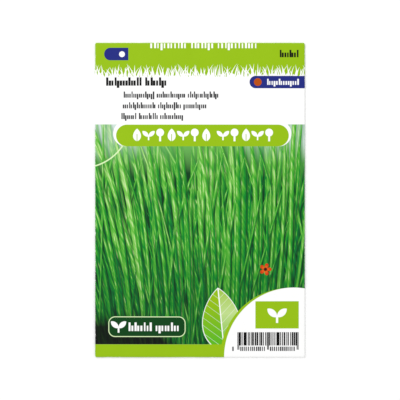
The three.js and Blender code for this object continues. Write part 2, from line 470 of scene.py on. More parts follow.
class Board:
    """A node tree to build on. A method adds one or a few nodes, feeds them and hands back their values."""

    def __init__(self, tree):
        self.tree = tree

    def feed(self, socket, value):
        value = getattr(value, "socket", value)
        if isinstance(value, bpy.types.NodeSocket):
            self.tree.links.new(value, socket)
        else:
            socket.default_value = value

    def node(self, kind, inputs=(), **settings):
        """Adds a node with these settings and inputs, and gives its outputs."""
        added = self.tree.nodes.new(kind)
        for name, value in settings.items():
            setattr(added, name, value)
        for key, value in dict(inputs).items():
            self.feed(added.inputs[key], value)
        column, row = divmod(len(self.tree.nodes), 8)
        added.location = (column * 200, row * -180)
        return [Value(self, output) for output in added.outputs]

    def math(self, operation, *values):
        return self.node("ShaderNodeMath", enumerate(values), operation=operation)[0]

    def limited(self, number):
        """The number, kept between 0 and 1."""
        return self.node("ShaderNodeClamp", {"Value": number})[0]

    def least(self, one, other):
        return self.math("MINIMUM", one, other)

    def most(self, one, other):
        return self.math("MAXIMUM", one, other)

    def floor(self, number):
        return self.math("FLOOR", number)

    def wave(self, number):
        return self.math("SINE", number)

    def length(self, u, v):
        return self.math("SQRT", u * u + v * v)

    def mix(self, below, above, share, **settings):
        return self.node("ShaderNodeMix", {0: share, 6: below, 7: above}, data_type="RGBA", **settings)[2]

    def ramp(self, number, stops):
        """A colour for each number from 0 to 1, by way of the stops."""
        colour = self.node("ShaderNodeValToRGB", {"Fac": number})[0]
        steps = colour.socket.node.color_ramp.elements
        while len(steps) < len(stops):
            steps.new(0.5)
        for step, (place, stop) in zip(steps, stops.items()):
            step.position = place
            step.color = stop
        return colour

    def drawn(self, number, seed):
        return self.node("ShaderNodeTexWhiteNoise", {"W": seed * 57.31 + number}, noise_dimensions="1D")

    def draw(self, number, seed):
        """A random number from 0 to 1 for each whole number and seed."""
        return self.drawn(number, seed)[0]

    def draws(self, number, seed):
        """Three random numbers from 0 to 1 for each whole number and seed."""
        return self.node("ShaderNodeSeparateColor", {"Color": self.drawn(number, seed)[1]})

    def noise(self, place, scale, detail=2.0, roughness=0.5):
        inputs = {"Vector": place, "Scale": scale, "Detail": detail, "Roughness": roughness}
        return self.node("ShaderNodeTexNoise", inputs)[0]

    def line_noise(self, place, detail, roughness):
        """Noise along a line, from 0 to 1."""
        inputs = {"W": place, "Scale": 1.0, "Detail": detail, "Roughness": roughness}
        return self.node("ShaderNodeTexNoise", inputs, noise_dimensions="1D")[0]


# %% [markdown]
# ### Node groups from functions
#
# A shape that is used often is built once, as a node group, and then placed with its own values. Here a
# plain function draws the shape, and `@node_group` above it does the rest: the function's arguments
# become the group's inputs, what it returns becomes the outputs, and from then on its name places the
# group on a board.

# %% Node groups and ink colours
SOCKET_KINDS = {"Place": "NodeSocketVector", "Below": "NodeSocketColor", "Colour": "NodeSocketColor"}


def label(name):
    return name.replace("_", " ").title()


def node_group(*outputs):
    """Turns the function below into a node group with these outputs. Most sockets carry a number."""

    def build(draw):
        tree = bpy.data.node_groups.new(label(draw.__name__).capitalize(), "ShaderNodeTree")
        inputs = [label(name) for name in inspect.signature(draw).parameters][1:]
        for in_out, names in (("INPUT", inputs), ("OUTPUT", outputs)):
            for name in names:
                kind = SOCKET_KINDS.get(name, "NodeSocketFloat")
                tree.interface.new_socket(name=name, in_out=in_out, socket_type=kind)
        board = Board(tree)
        results = draw(board, *board.node("NodeGroupInput")[: len(inputs)])
        results = results if isinstance(results, tuple) else (results,)
        board.node("NodeGroupOutput", zip(outputs, results))
        print("node group:", tree.name, "of", len(tree.nodes), "nodes")

        def place(board, *values, **named):
            fed = dict(zip(inputs, values))
            fed.update((label(name), value) for name, value in named.items())
            given = board.node("ShaderNodeGroup", fed, node_tree=tree)
            return given if len(outputs) > 1 else given[0]

        return place

    return build


SHEEN = 0.012
LIGHT_GAIN = 1.04
INK_EDGE = 0.06


def ink_colour(red, green, blue):
    """The ink that shows as this screen colour, from 0 to 255, under the studio light.

    The paper's sheen adds a little white light to every ink, and the lamps add a little more, so both are
    taken off.
    """
    straight = lambda c: c / 12.92 if c <= 0.04045 else ((c + 0.055) / 1.055) ** 2.4
    shown = (straight(c / 255) for c in (red, green, blue))
    return (*(max(0.0, light - SHEEN) / LIGHT_GAIN for light in shown), 1.0)


def ink_within(distance, edge=INK_EDGE):
    """1 inside an outline and 0 outside it, from the distance to it, with a soft edge this wide."""
    return distance.board.limited(0.5 - distance / edge)


# %% [markdown]
# ### A rounded bar
#
# Most of the print is bars with rounded ends, plain boxes and discs. One formula draws them all: the
# distance to a box that is shrunk by its corner radius, less that radius. A disc is a bar whose corner
# is as large as itself.

# %% Node group: rounded bar
@node_group("Distance")
def rounded_bar(b, x, y, middle_x, middle_y, half_width, half_height, corner):
    u = abs(x - middle_x) - half_width + corner
    v = abs(y - middle_y) - half_height + corner
    outside = b.length(b.most(u, 0.0), b.most(v, 0.0))
    inside = b.least(b.most(u, v), 0.0)
    return outside + inside - corner


# %% [markdown]
# ### A pointed leaf
#
# A leaf is what two discs have in common: a lens with a point at each end. The point of the sheet is
# turned into a place along the leaf and a place across it, so that a midrib and veins can be drawn with
# the same two numbers. `belly` widens the half by the foot.

# %% Node group: pointed leaf
@node_group("Distance", "Along", "Across")
def pointed_leaf(b, x, y, foot_x, foot_y, length, half_width, turn, belly):
    u, v = x - foot_x, y - foot_y
    sine, cosine = b.wave(turn), b.math("COSINE", turn)
    along = u * sine + v * cosine
    across = u * cosine - v * sine
    half_length = length * 0.5
    from_middle = along - half_length
    widened = 1.0 - belly * from_middle / half_length
    radius = (half_length * half_length + half_width * half_width) / (half_width * 2.0)
    sideways = abs(across) / b.most(widened, 0.2) + radius - half_width
    return b.length(sideways, from_middle) - radius, along, across


# %% [markdown]
# ### A seedling
#
# A stem with two leaves is the packet's own small sign. It is drawn from the two groups above, at any
# size.

# %% Node group: seedling
LEAF_SPLAY = 0.85


@node_group("Distance")
def seedling(b, x, y, foot_x, foot_y, size):
    shape = rounded_bar(b, x, y, foot_x, foot_y + size * 0.24, size * 0.07, size * 0.24)
    leaf_foot, length, half_width = foot_y + size * 0.36, size * 0.8, size * 0.2
    for side in (-1, 1):
        leaf, _, _ = pointed_leaf(b, x, y, foot_x, leaf_foot, length, half_width, side * LEAF_SPLAY)
        shape = b.least(shape, leaf)
    return shape


# %% [markdown]
# ### Lines of small print
#
# Rows of short upright strokes stand for lines of small print, as a printer's layout shows text that
# isn't written yet. The place is cut into lines, and each line into stroke cells. Some strokes are drawn
# taller and some hang lower, and in each word's run of cells one is left out as the gap between words.

# %% Node group: printed lines
TALL_STROKE = 1.6
TALL_ABOVE = 0.72
LOW_STROKE = 0.42
LOW_ABOVE = 0.86


@node_group("Ink")
def printed_lines(b, x, y, left, right, head, lines, pitch, ragged, seed, height, stroke, weight, word):
    fallen = head - y
    line = b.floor(fallen / pitch)
    row_seed = seed + line * 1.7
    along = (x - left) / stroke
    cell = b.floor(along)
    tall, low = b.draw(cell, row_seed), b.draw(cell, row_seed + 0.6)
    rise = line * pitch - fallen + height * TALL_STROKE
    top = height * (1.0 + (TALL_STROKE - 1) * (tall > TALL_ABOVE))
    bottom = height * LOW_STROKE * (low > LOW_ABOVE)
    upright = b.most(rise - top, -1.0 * bottom - rise)
    middle, half = 0.38 + tall * 0.24, weight + low * 0.14
    sideways = (abs(along - cell - middle) - half) * stroke
    ink = ink_within(b.most(upright, sideways), 0.08)
    run = b.floor(cell / word)
    gap = b.floor((run + 0.2 + b.draw(run, row_seed + 0.3) * 0.6) * word)
    ink = ink * (abs(cell - gap) > 0.5)
    line_end = right - ragged * b.draw(line, seed + 0.9)
    cell_end = left + (cell + 1.0) * stroke
    return ink * (along > 0.0) * (cell_end < line_end) * (line > -0.5) * (line < lines - 0.5)


# %% [markdown]
# ### A row of grass
#
# The lower edge of the header band is a fringe of grass blades. A row of blades is cut into cells with
# one blade in each. A blade is a thin wedge whose middle line leans and bends, and rows with other seeds
# overlap it. Each point also asks the cell on either side, because a leaning blade leaves its own cell.

# %% Node group: grass row
@node_group("Ink")
def grass_row(b, x, y, root, height, spacing, width, lean, seed):
    along = x / spacing + seed * 0.37
    rise = y - root
    inks = []
    for shift in (-1.0, 0.0, 1.0):
        cell = b.floor(along) + shift
        tall, bend, place = b.draws(cell, seed)
        share = b.limited(rise / (height * (tall * 0.6 + 0.4)))
        bent = lean * (bend * 2.4 - 0.9) * share ** 1.6
        offset = (along - cell - place * 0.5 - 0.25) * spacing - bent
        half = width * (1.0 - share) ** 0.8
        inks.append(ink_within(abs(offset) - half) * (share > 0.0) * (share < 1.0))
    return b.most(inks[0], b.most(inks[1], inks[2]))


# %% [markdown]
# ### A layer of leaves
#
# The picture is a stand of thin round leaves, printed in full colour. One layer of it is again a row of
# cells with a leaf in each, here on lines that fan out from a point far below. Each leaf has its own
# width, height, sway and green, is lighter along one side as a tube is, with patches of light along it,
# and darkens what lies behind it. All greens come from one ramp, from the deep shade between leaves to a
# leaf that catches the sun.

# %% Node group: leaf layer
LEAF_TAPER = 15.0
SHADOW_SHIFT = 0.4
SHADE_GREEN = ink_colour(0, 62, 38)
LEAF_GREENS = {
    0.0: ink_colour(0, 58, 40),
    0.2: ink_colour(0, 108, 56),
    0.38: ink_colour(20, 140, 50),
    0.56: ink_colour(72, 170, 52),
    0.76: ink_colour(122, 198, 82),
    1.0: ink_colour(200, 232, 160),
}


@node_group("Colour")
def leaf_layer(b, x, y, fan_x, fan_y, lean, sway, spacing, width, tip, tip_spread, tone, edge, seed, below):
    # The place across the fan, measured where it crosses y = 0. The whole layer sways together.
    across = (x - fan_x) / (1.0 - y / fan_y)
    across = across + b.wave(y * 0.032 + seed * 2.3) * sway + y * lean
    along = across / spacing + seed * 0.31
    cell = b.floor(along)
    one, two, three = b.draws(cell, seed)
    middle = one * 0.3 + b.wave(y * 0.028 + two * 6.28) * 0.17 + 0.35
    offset = (along - cell - middle) * spacing
    left = b.limited((tip + (three - 0.5) * tip_spread - y) / LEAF_TAPER)
    narrow = left ** 0.55
    half = width * (two * 0.25 + 0.25) * narrow
    ink = b.limited(0.5 - (abs(offset) - half) / edge) * (left > 0.0)
    # A soft shadow falls on what lies behind, to the right of the leaf. It is weaker on the haze above.
    behind = abs(offset - SHADOW_SHIFT) - half
    shade = b.limited(0.7 - behind * 1.3) * b.limited((44.0 - y) / 44.0) * narrow * 0.68
    below = b.mix(below, SHADE_GREEN, shade)
    # Round across: light on the left flank and deep at both edges, with a fine pale streak.
    turned = offset / b.most(half, 0.05)
    flank = turned + 0.35
    streak = b.limited(1.5 - abs(turned - one * 0.9 + 0.6) * 7.0)
    mottle = b.line_noise(y * 0.27 + cell * 17.3 + turned * 0.5, 2.0, 0.55) * 2.0 - 1.0
    light = (three * 0.6 + one * 0.4) * 0.58 + b.limited(1.0 - flank * flank) * 0.2
    light = light + streak * (mottle * 0.35 + 0.2) + mottle * 0.27 + tone
    light = light + y * 0.0025 - abs(x + 8.0) * 0.0017 + 0.075
    return b.mix(below, b.ramp(light, LEAF_GREENS), ink)


# %% [markdown]
# ## The picture
#
# The layers start deep, cool and out of focus and end light, warm and sharp. Their fans start at
# different points, so that the leaves cross, and four layers hold thin leaves that lean across all
# others. Behind them the top of the picture is pale haze, and at its foot the light fades into dark
# soil.

# %% Node group: the picture of leaves
PICTURE_TOP = 31.0
PICTURE_FOOT = -59.2
LEAF_LAYERS = 14
FAN_X = (8, -14, 22, -4)
FAN_Y = (-260.0, -330.0, -220.0, -420.0)
TIP_HEIGHT = (28, 37, 30, 14)
CROSSING_LEAN = {3: 0.42, 6: -0.4, 9: 0.36, 12: -0.28}
HAZE_AFTER = {3: 0.5, 7: 0.3}
HAZE_PALE = ink_colour(212, 230, 222)
HAZE_GREEN = ink_colour(112, 186, 92)
DEEP_GREEN = ink_colour(0, 66, 38)
SOIL = ink_colour(14, 26, 16)


@node_group("Colour")
def leaf_picture(b, x, y):
    to_side = b.limited(abs(x) / 26.0 - 0.4)
    height = b.limited((y - 11.0 + to_side * 3.0) / 14.0)
    haze = b.mix(HAZE_GREEN, HAZE_PALE, to_side * b.limited((y - 15.0) / 9.0))
    colour = b.mix(DEEP_GREEN, haze, height)
    for number in range(LEAF_LAYERS):
        front = number / (LEAF_LAYERS - 1)
        crossing = number in CROSSING_LEAN
        colour = leaf_layer(
            b,
            x,
            y,
            fan_x=FAN_X[number % 4] + number * 0.7,
            fan_y=FAN_Y[number * 3 % 4],
            lean=CROSSING_LEAN.get(number, 0.05 * (number % 3 - 1)),
            sway=2.6,
            spacing=8.0 if crossing else 3.0 + 0.6 * (number * 5 % 3) + 1.4 * front,
            width=1.3 if crossing else 1.7 + 0.3 * (number * 7 % 3),
            tip=TIP_HEIGHT[number % 4] - 26 * front,
            tip_spread=44.0 + 44 * front,
            tone=0.12 * front - 0.03,
            edge=0.3 - 0.22 * front,
            seed=float(number * 3 + 2),
            below=colour,
        )
        if number in HAZE_AFTER:
            colour = b.mix(colour, haze, height * HAZE_AFTER[number])
    dusk = b.limited((-14.0 - y) / 60.0)
    colour = b.mix(colour, SHADE_GREEN, dusk * 0.5)
    soil = b.limited((-45.0 - y - b.most(x + 22.0, 0.0) * 0.9) / 7.0)
    return b.mix(colour, SOIL, soil * 0.95)


# %% [markdown]
# ## Laying ink
#
# `Print` is the press. It knows the place on the sheet and the colour so far, draws shapes with the
# groups, and lays one ink after another over what is there.

# %% The press
class Print:
    """Inks laid on the sheet one over another. Places and sizes are millimetres on the flat blank."""

    def __init__(self, board, x, y, paper=None):
        self.board = board
        self.x = x
        self.y = y
        self.colour = paper

    def lay(self, colour, *inks):
        for ink in inks:
            self.colour = self.board.mix(self.colour, colour, ink)

    def shape(self, group, *sizes, **named):
        return group(self.board, self.x, self.y, *sizes, **named)

    def bar_distance(self, left, foot, right, head, corner=0.0):
        middle_x, middle_y = (left + right) / 2, (foot + head) / 2
        half_width, half_height = (right - left) / 2, (head - foot) / 2
        return self.shape(rounded_bar, middle_x, middle_y, half_width, half_height, corner)

    def bar(self, left, foot, right, head, corner=0.0):
        return ink_within(self.bar_distance(left, foot, right, head, corner))

    def disc(self, x, y, radius):
        return self.bar(x - radius, y - radius, x + radius, y + radius, radius)

    def outline(self, distance, width):
        return ink_within(abs(distance) - width / 2)

    def seedling(self, foot_x, foot_y, size):
        return ink_within(self.shape(seedling, foot_x, foot_y, size))

    def lines(self, left, right, head, height, stroke, seed, word=10, weight=0.24, **rows):
        rows = {"lines": 1, "pitch": 3 * height, "ragged": 0.0, **rows}
        look = {"seed": seed, "height": height, "stroke": stroke, "weight": weight, "word": word}
        return self.shape(printed_lines, left, right, head, **rows, **look)


# %% Inks
LIME = ink_colour(152, 193, 31)
BLUE = ink_colour(43, 51, 130)
DOT_BROWN = ink_colour(185, 82, 12)
LABEL_GREEN = ink_colour(4, 72, 36)
LEAF_PALE = ink_colour(214, 236, 168)
LEAF_FRESH = ink_colour(98, 186, 42)
TEXT_BLACK = ink_colour(24, 24, 26)
TEXT_GREY = ink_colour(58, 58, 60)
WHITE = (0.955, 0.955, 0.95, 1.0)
PALE_LINE = ink_colour(222, 246, 190)
FLOWER_RED = ink_colour(214, 62, 22)
FLOWER_GLOW = ink_colour(240, 132, 44)
FLOWER_EYE = ink_colour(66, 18, 14)

# %% [markdown]
# ## The printed front
#
# The inks go down from back to front: bare paper, the picture, the bands, and then the small shapes.

# %% Node group: the title's row of signs
SIGN_PITCH = 4.73
FIRST_SIGN = -25.8
SIGN_FOOT = 24.05
SIGN_HEIGHT = 5.2
SIGN_GROUPS = 4
GROUP_GAP = 2.1
GAP_MIDDLE = 5.4
FLOWER_HEAD = 1.6


@node_group("Ink")
def title_signs(b, x, y):
    """Twelve white signs: leaf, seedling and flower take turns, with a wider gap after the seventh."""
    along = x - GROUP_GAP * (x > GAP_MIDDLE) - FIRST_SIGN
    group = b.floor(along / (3 * SIGN_PITCH) + 1 / 6)
    press = Print(b, along - group * (3 * SIGN_PITCH), y)
    leaf, _, _ = press.shape(pointed_leaf, 0.0, SIGN_FOOT, SIGN_HEIGHT, 1.6, 0.0, 0.25)
    rib = press.bar(-0.15, SIGN_FOOT - 1, 0.15, SIGN_FOOT + 0.58 * SIGN_HEIGHT, 0.15)
    leaf_ink = ink_within(leaf) * (1.0 - rib)
    sprout_ink = press.seedling(SIGN_PITCH, SIGN_FOOT + 0.45, 4.2)
    stalk = press.bar(2 * SIGN_PITCH - 0.4, SIGN_FOOT, 2 * SIGN_PITCH + 0.4, SIGN_FOOT + 3)
    head = press.disc(2 * SIGN_PITCH, SIGN_FOOT + SIGN_HEIGHT - FLOWER_HEAD, FLOWER_HEAD)
    ink = b.most(leaf_ink, b.most(sprout_ink, b.most(head, stalk)))
    outside_gap = abs(x - GAP_MIDDLE) > 1.05
    return ink * outside_gap * (group > -0.5) * (group < SIGN_GROUPS - 0.5)


# %% Node group: bar code
BAR_MODULE = 0.264
MODULE_COUNT = 95.0
BARS_LEFT = 15.35
FIRST_OF_PAIR = (0.0, 46.0, 92.0)
INK_GAIN = 0.28


@node_group("Ink")
def bars(b, x, y, head, foot, low_foot):
    """Bars of random width, one in every three modules, between three longer pairs. They hold no number."""
    along = (x - BARS_LEFT) / BAR_MODULE
    three = b.floor(along / 3.0)
    middle = three * 3.0 + 1.2 + (b.draw(three, 4.0) > 0.5) * 0.6
    half = (b.draw(three, 5.0) > 0.5) * 0.5 + 0.5 + INK_GAIN
    within = (along > 0.0) * (along < MODULE_COUNT)
    body = (abs(along - middle) < half) * (y > foot)
    for first in FIRST_OF_PAIR:
        from_pair = abs(along - (first + 1.5))
        pair = abs(from_pair - 1.0) < 0.5 + INK_GAIN
        body = body * (from_pair > 1.5) + pair * (from_pair < 1.5)
    return body * within * ((y < head) * (y > low_foot))


# %% Prints of the header and the title
BLEED = 200
ONE_WORD = 100
HEADER_FOOT = 52.2
PILL_ENDS = (-30.4, 32.3)
PILL_MIDDLE = 27.2


def header_print(p):
    """The header band with its grass fringe and the small shapes on and under it."""
    p.lay(LIME, p.bar(-BLEED, HEADER_FOOT, BLEED, BLEED))
    for seed, lean in ((31.0, 0.5), (32.0, -0.5)):
        p.lay(LIME, p.shape(grass_row, 52.4, -2.1, 1.15, 0.6, lean, seed))
    for seed, spacing, lean in ((1.0, 2.4, 1.9), (2.0, 2.1, -1.7), (3.0, 2.9, 1.3), (4.0, 1.9, -0.9)):
        p.lay(WHITE, p.shape(grass_row, 51.0, 5.1, spacing, 0.31, lean, seed))
    p.lay(BLUE, p.board.most(p.bar(-39.3, 57.3, -31, 62.45, 2.5), p.bar(-35, 57.3, -29.4, 62.45, 0.2)))
    p.lay(WHITE, p.disc(-32.0, 59.8, 1.2))
    p.lay(WHITE, p.lines(-20.6, 23.8, 65.4, 1.95, 1.38, 89.0, word=16, weight=0.17))
    p.lay(TEXT_BLACK, p.lines(32.5, 40.6, 61.6, 1.9, 1.0, 3.0, word=ONE_WORD, weight=0.3))
    p.lay(BLUE, p.board.most(p.bar(20.3, 45.8, 30, 50.9, 2.55), p.bar(25, 45.8, 60, 50.9)))
    p.lay(DOT_BROWN, p.disc(23.7, 48.35, 1.6))
    p.lay(WHITE, p.lines(27.3, 40.8, 49.7, 1.55, 0.95, 156.0, word=ONE_WORD))
    p.lay(TEXT_BLACK, p.lines(-38.7, -13.6, 50.3, 2.15, 1.14, 125.0, word=22, weight=0.34))
    rows = ((-31.5, 7.9, 44.5, 193.0, 25), (-31.7, 3.5, 40.1, 41.0, 22), (-32.4, -6.2, 35.7, 228.0, 16))
    for left, right, head, seed, word in rows:
        p.lay(TEXT_GREY, p.lines(left, right, head, 1.6, 0.8, seed, word=word, weight=0.28))


def title_print(p):
    """The title's pill, white crescents round its ends, and the thin arc that runs to the left fold."""
    for end in PILL_ENDS:
        p.lay(WHITE, p.disc(end, PILL_MIDDLE, 5.2))
    p.lay(WHITE, p.bar(PILL_ENDS[0], 30.5, PILL_ENDS[1], 32))
    arc = p.bar_distance(-68.44, 13.24, -28.44, 53.24, 20.0)
    p.lay(PALE_LINE, p.outline(arc, 0.55) * (p.y < 22.6))
    p.lay(LIME, p.bar(-34.4, 22.0, 36.4, 30.9, 4.45))
    p.lay(WHITE, p.shape(title_signs))


# %% Prints of the leaf badge, the flower, the label and the corner panel
VEIN_PITCH = 3.4
FLOWER_X = 26.8
FLOWER_Y = -28.4
PETALS = 5


def leaf_badge_print(p):
    """A large leaf with a pale half and fine veins, half behind the corner panel."""
    b = p.board
    edge, along, across = p.shape(pointed_leaf, 10.0, -62.5, 26.6, 7.7, -0.1, 0.22)
    ink = ink_within(edge)
    p.lay(LEAF_FRESH, ink)
    p.lay(LIME, ink * b.limited(along / 16.0 - 0.35))
    pale = ink * b.limited((across + 0.1) / 0.3) * b.limited(0.95 - abs(along - 16.0) / 13.0)
    p.lay(LEAF_PALE, pale * 0.75)
    rib = ink_within(abs(across) - 0.22)
    vein_place = (along - abs(across) * 0.9) / VEIN_PITCH
    veins = ink_within(abs(vein_place - b.floor(vein_place) - 0.5) * VEIN_PITCH - 0.1, 0.12) * 0.55
    p.lay(WHITE, b.most(rib, veins) * ink, p.outline(edge, 0.32) * 0.9)


def flower_print(p):
    """One small red flower among the leaves."""
    b = p.board
    u, v = p.x - FLOWER_X, p.y - FLOWER_Y
    out = b.length(u, v)
    petals = abs(b.math("COSINE", b.math("ARCTAN2", v, u) * (PETALS / 2))) ** 0.45
    p.lay(FLOWER_RED, ink_within(out - petals * 2.5, 0.3))
    p.lay(FLOWER_GLOW, ink_within(out - petals * 1.6, 0.9) * 0.5)
    p.lay(FLOWER_EYE, ink_within(out - 0.7, 0.4))


def label_print(p):
    """A plain rounded label with a seedling and a line of strokes."""
    edge = p.bar_distance(-37.4, -56.0, -6.1, -47.9, 2.6)
    p.lay(LABEL_GREEN, ink_within(edge))
    p.lay(PALE_LINE, p.outline(edge, 0.35))
    p.lay(WHITE, p.seedling(-33.4, -54.4, 5.2), p.lines(-29.6, -8.4, -50.2, 2.2, 1.24, 127.0, word=17))


def corner_print(p):
    """The white round panel in the corner, with its lime rim, a lime sign and the bars."""
    p.lay(LIME, p.disc(36.8, -64.6, 28.5))
    p.lay(WHITE, p.disc(38.4, -64.4, 28.5))
    p.lay(LIME, p.bar(22.7, -52.7, 40.5, -41.5))
    p.lay(WHITE, p.seedling(31.6, -50.4, 6.6))
    p.lay(TEXT_BLACK, p.shape(bars, head=-54.2, foot=-59.7, low_foot=-61.4))
    for left, right, seed in ((13.1, 14.6, 53.0), (16.4, 26.9, 403.0), (28.6, 39.1, 1087.0)):
        p.lay(TEXT_GREY, p.lines(left, right, -59.05, 1.8, 0.8, seed, word=ONE_WORD))


# %% Node group: printed front
@node_group("Colour")
def printed_front(b, x, y):
    p = Print(b, x, y, WHITE)
    p.lay(p.shape(leaf_picture), p.bar(-BLEED, PICTURE_FOOT, BLEED, PICTURE_TOP))
    flower_print(p)
    leaf_badge_print(p)
    p.lay(LIME, p.bar(-BLEED, -BLEED, BLEED, PICTURE_FOOT))
    title_print(p)
    header_print(p)
    label_print(p)
    corner_print(p)
    return p.colour


# %% [markdown]
# ## The printed back
#
# The back holds what a gardener needs: rows of small print, three round signs for sun, depth and
# distance, and a sowing calendar, which is a row of twelve months for each of two jobs.

# %% Node group: printed back
SIGN_X = 69.0
SIGN_RADIUS = 5.6
MONTH_PITCH = 6.3
CALENDAR = ((LIME, -19.4, range(2, 6)), (BLUE, -26.2, range(4, 10)))


def ring_print(p, middle):
    p.lay(LIME, p.outline(p.board.length(p.x - SIGN_X, p.y - middle) - SIGN_RADIUS, 0.7))


def round_signs_print(p):
    """The sun with its rays, a seed below the ground line, and two seedlings side by side."""
    sun, depth, distance = 28.0, 13.0, -2.0
    ring_print(p, sun)
    p.lay(LIME, p.disc(SIGN_X, sun, 2.1))
    for turn in range(8):
        angle = turn * math.pi / 4
        p.lay(LIME, p.disc(SIGN_X + 3.5 * math.cos(angle), sun + 3.5 * math.sin(angle), 0.42))
    ring_print(p, depth)
    p.lay(LIME, p.bar(64.6, depth + 0.6, 73.4, depth + 1.1), p.disc(SIGN_X, depth - 2.1, 0.8))
    p.lay(LIME, p.bar(68.8, depth - 1, 69.2, depth + 0.4))
    ring_print(p, distance)
    p.lay(LIME, p.seedling(66.6, distance - 2.6, 4.4), p.seedling(71.4, distance - 2.6, 4.4))


def calendar_print(p):
    """A row of twelve months for each job, with the busy months filled in."""
    for colour, foot, busy_months in CALENDAR:
        for month in range(12):
            left = 5 + month * MONTH_PITCH
            box = p.bar_distance(left, foot, left + 5.6, foot + 4.6, 0.7)
            if month in busy_months:
                p.lay(colour, ink_within(box))
            else:
                p.lay(TEXT_GREY, p.outline(box, 0.22))


@node_group("Colour")
def printed_back(b, x, y):
    p = Print(b, x - back_start, y, WHITE)
    p.lay(LIME, p.bar(-9, 38.6, BLEED, BLEED), p.bar(-9, -BLEED, BLEED, -46.0))
    p.lay(WHITE, p.lines(5, 60, 42.6, 1.9, 0.98, 3.0))
    p.lay(TEXT_BLACK, p.lines(5, 52, 35.2, 1.5, 0.86, 5.0, word=9))
    p.lay(TEXT_GREY, p.lines(5, 52, 31.0, 1.0, 0.62, 7.0, word=11, lines=9, pitch=2.7, ragged=7))
    p.lay(TEXT_GREY, p.lines(5, 52, 3.4, 1.0, 0.62, 8.0, word=9, lines=5, pitch=2.7, ragged=9))
    round_signs_print(p)
    calendar_print(p)
    p.lay(TEXT_GREY, p.lines(5, 79, -30.6, 1.0, 0.62, 15.0, lines=4, pitch=2.7, ragged=11))
    return p.colour


# %% [markdown]
# ## What the surfaces are made of
#
# Coated paper is nearly flat, but not quite: its shade, sheen and height vary over a few tenths of a
# millimetre with the fibres beneath the coating, and over centimetres with the pulp. One group gives all
# three, and the uncoated inside of the sheet uses it more strongly. Over the folds the coating cracks,
# and a little of the ink flakes off with it.

# %% Node groups: paper grain and fold wear
FOLD_WEAR_REACH = 0.35


@node_group("Shade", "Roughness", "Height")
def paper_grain(b, place, strength):
    fibre = b.noise(place, 1100.0, 3.0, 0.65) - 0.5
    pulp = b.noise(place, 130.0) - 0.5
    shade = 1.0 + (fibre * 0.03 + pulp * 0.04) * strength
    return shade, 0.44 + fibre * 0.1 + pulp * 0.12, (fibre * 0.6 + pulp * 1.2) * strength


@node_group("Wear")
def fold_wear(b, x, y, place):
    """1 where ink has flaked off along a fold's outermost line, from the place on the flat blank."""
    from_right = abs(x - (panel_right + math.pi * right_fold / 2))
    from_left = abs(x - (panel_left - math.pi * left_fold / 2))
    from_end = abs(abs(y) - (panel_top + math.pi * end_fold / 2))
    near = b.limited(1.0 - b.least(from_end, b.least(from_right, from_left)) / FOLD_WEAR_REACH)
    crumbs = b.noise(place, 1500.0, 3.0, 0.7) + b.noise(place, 90.0, 1.0) * 0.5
    return b.limited((near * 0.3 + crumbs - 1.02) * 9.0) * (near > 0.0)


# %% [markdown]
# A material's function hands back what its shader's inputs are fed. What varies comes from nodes that
# read the place on the object, and a number that is the same all over is set on the shader itself.

# %% Materials of the paper
BARE_WHITE = (0.86, 0.85, 0.82, 1.0)
SHEEN_LEVEL = 0.15
GRAIN_HEIGHT = 0.00003


def object_place(b):
    """The place on the object, in metres: the fourth of the node's outputs."""
    return b.node("ShaderNodeTexCoord")[3]


def bump(b, height, distance):
    """The surface's normal, roughened by a height from 0 to 1 over this distance in metres."""
    return b.node("ShaderNodeBump", {"Height": height, "Distance": distance})[0]


def new_material(name, look):
    material = bpy.data.materials.new(name)
    material.use_nodes = True
    board = Board(material.node_tree)
    for socket, value in look(board).items():
        board.feed(material.node_tree.nodes["Principled BSDF"].inputs[socket], value)
    return material


def paper_look(b, place, colour, strength):
    """Paper of a colour, with its grain."""
    shade, roughness, height = paper_grain(b, place, strength)
    grey = b.node("ShaderNodeCombineColor", {"Red": shade, "Green": shade, "Blue": shade})[0]
    return {
        "Base Color": b.mix(colour, grey, 1.0, blend_type="MULTIPLY"),
        "Roughness": roughness,
        "Normal": bump(b, height, GRAIN_HEIGHT),
        "Specular IOR Level": SHEEN_LEVEL,
    }


def coated_paper(print_group):
    """Coated paper with the print of one side on it."""

    def look(b):
        place = object_place(b)
        x, y, _ = b.node("ShaderNodeSeparateXYZ", {0: b.node("ShaderNodeUVMap", uv_map="Blank")[0]})
        worn = b.mix(print_group(b, x, y), BARE_WHITE, fold_wear(b, x, y, place))
        return paper_look(b, place, worn, 1.0)

    return look


def bare_paper(b):
    """The uncoated inside of the sheet and its cut edges, which are rougher."""
    look = paper_look(b, object_place(b), BARE_WHITE, 2.5)
    return {**look, "Roughness": look["Roughness"] + 0.3}


sheet.material_slots[PRINTED_FRONT].material = new_material("printed_front", coated_paper(printed_front))
sheet.material_slots[BARE_PAPER].material = new_material("bare_paper", bare_paper)
sheet.material_slots[PRINTED_BACK].material = new_material("printed_back", coated_paper(printed_back))

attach(sheet, "root")
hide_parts("envelope")

# %% [markdown]
# ## The sachet
#
# Inside lies a flat sachet of two foil films. Both films are made like the blank: a grid for the inside,
# and fine strips extruded all round for the sealed margin. The sealing jaws press ridges into the
# margin, which both films share, and inside it the upper film is lifted over the seeds and creased.

# %% Make the sachet's films
FILM = 0.08
FILM_CELL = 1.6
FILM_SMOOTH_ANGLE = math.radians(50)
SEAL_MARGIN = 4
MARGIN_STRIPS = 12
RIDGE_PITCH = 1.33
RIDGE_HEIGHT = 0.03
SACHET_LIFT = 2
LOWER_CREASES = 0.015
UPPER_CREASES = 0.035
film_inside = SACHET_HALF - Vector((SEAL_MARGIN, SEAL_MARGIN))
lower_film_height = back_height + PAPER / 2 + SLACK + FILM / 2
upper_film_height = lower_film_height + FILM


